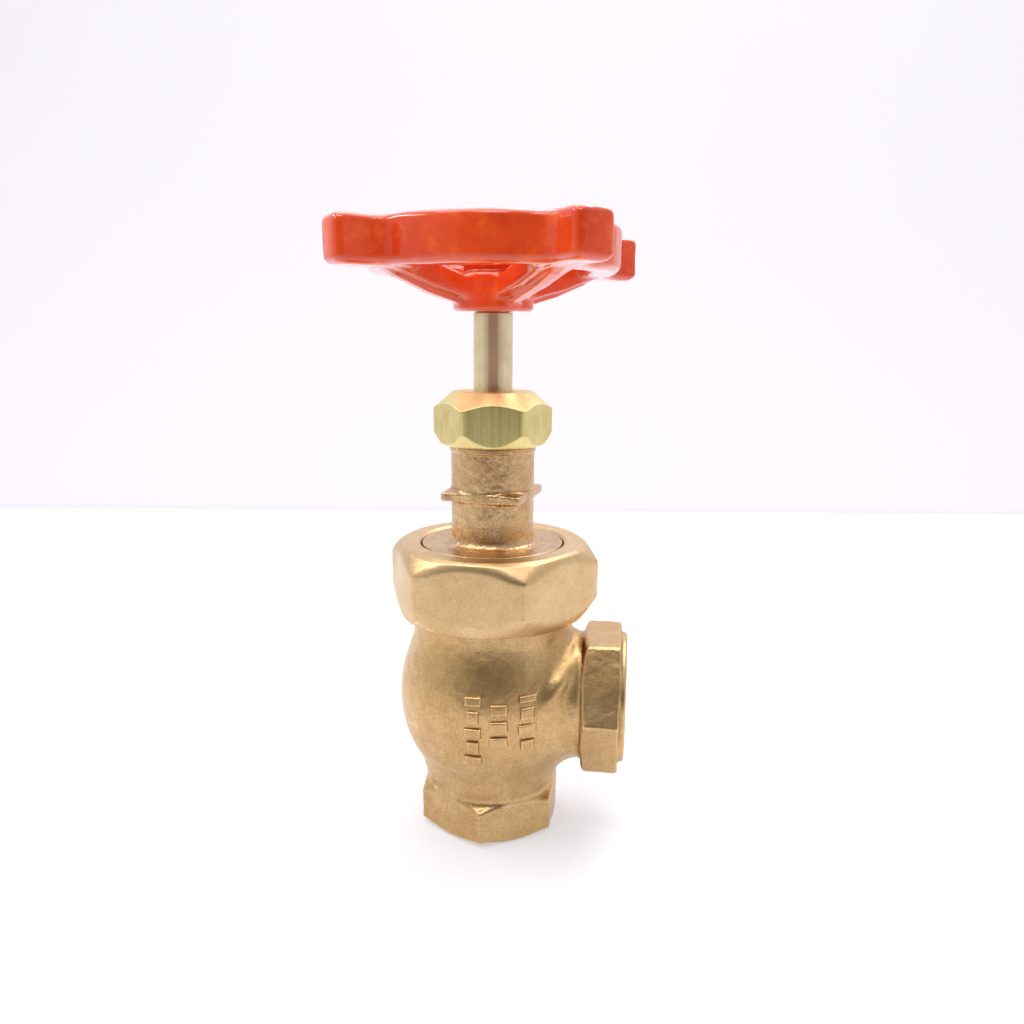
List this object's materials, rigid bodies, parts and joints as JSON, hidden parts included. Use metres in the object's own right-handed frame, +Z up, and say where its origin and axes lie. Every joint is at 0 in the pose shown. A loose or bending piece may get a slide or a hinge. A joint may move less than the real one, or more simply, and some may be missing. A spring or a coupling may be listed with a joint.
{
  "type": "angle globe valve",
  "caption": "Bronze angle globe valve with female threaded hexagon ends, union bonnet, rising screwed stem and lobed orange-red handwheel.",
  "frame": {"origin": "centre of the bounding box's underside, in the plane of the inlet end face; the valve's vertical axis stands at x -0.767 mm, y 0", "axes": "+Z up the stem from the inlet face to the handwheel, +X out of the outlet"},
  "size_m": [0.0704, 0.069, 0.1552],
  "materials": {
    "cast_bronze": "sand-cast bronze, fine grain, satin",
    "bonnet_bronze": "sand-cast bronze, coarse grain, reddish",
    "union_bronze": "tumbled cast bronze, satin",
    "machined_brass": "turned and milled brass, bright",
    "stem_brass": "turned brass with fine scratches",
    "inner_bronze": "machined bronze",
    "wheel_enamel": "glossy orange-red enamel over cast iron",
    "seat_ptfe": "white soft disc",
    "packing_graphite": "braided graphite",
    "plate_aluminium": "thin blank plate"
  },
  "bodies": {
    "valve_body": {"body": "cast_bronze", "seat_ring": "inner_bronze", "bonnet": "bonnet_bronze", "union_nut": "union_bronze", "packing_washer": "inner_bronze", "packing_ring_lowest": "packing_graphite", "packing_ring_lower": "packing_graphite", "packing_ring_upper": "packing_graphite", "packing_ring_highest": "packing_graphite"},
    "disc_assembly": {"disc_holder": "inner_bronze", "seat_disc": "seat_ptfe", "disc_washer": "inner_bronze", "disc_nut": "inner_bronze"},
    "stem_and_wheel": {"stem": "stem_brass", "handwheel": "wheel_enamel", "id_plate": "plate_aluminium", "wheel_washer": "inner_bronze", "wheel_nut": "machined_brass"},
    "gland_follower": {"gland": "inner_bronze"},
    "packing_nut": {"packing_nut": "machined_brass"}
  },
  "joints": [
    {"name": "stem_lift", "type": "slide", "parent": "valve_body", "child": "disc_assembly", "axis": [0, 0, 1], "range_m": [-0.00953, 0]},
    {"name": "stem_turn", "type": "hinge", "parent": "disc_assembly", "child": "stem_and_wheel", "pos_m": [-0.00077, 0, 0.1], "axis": [0, 0, 1], "range_deg": [-1080, 0]},
    {"name": "gland_lift", "type": "slide", "parent": "valve_body", "child": "gland_follower", "axis": [0, 0, 1], "range_m": [0, 0.00382]},
    {"name": "packing_nut_turn", "type": "hinge", "parent": "gland_follower", "child": "packing_nut", "pos_m": [-0.00077, 0, 0.11], "axis": [0, 0, 1], "range_deg": [0, 1080]}
  ],
  "couplings": [
    {"joint": "stem_lift", "follows": "stem_turn", "m_per_rad": 0.00050532},
    {"joint": "gland_lift", "follows": "packing_nut_turn", "m_per_rad": 0.00020213}
  ]
}
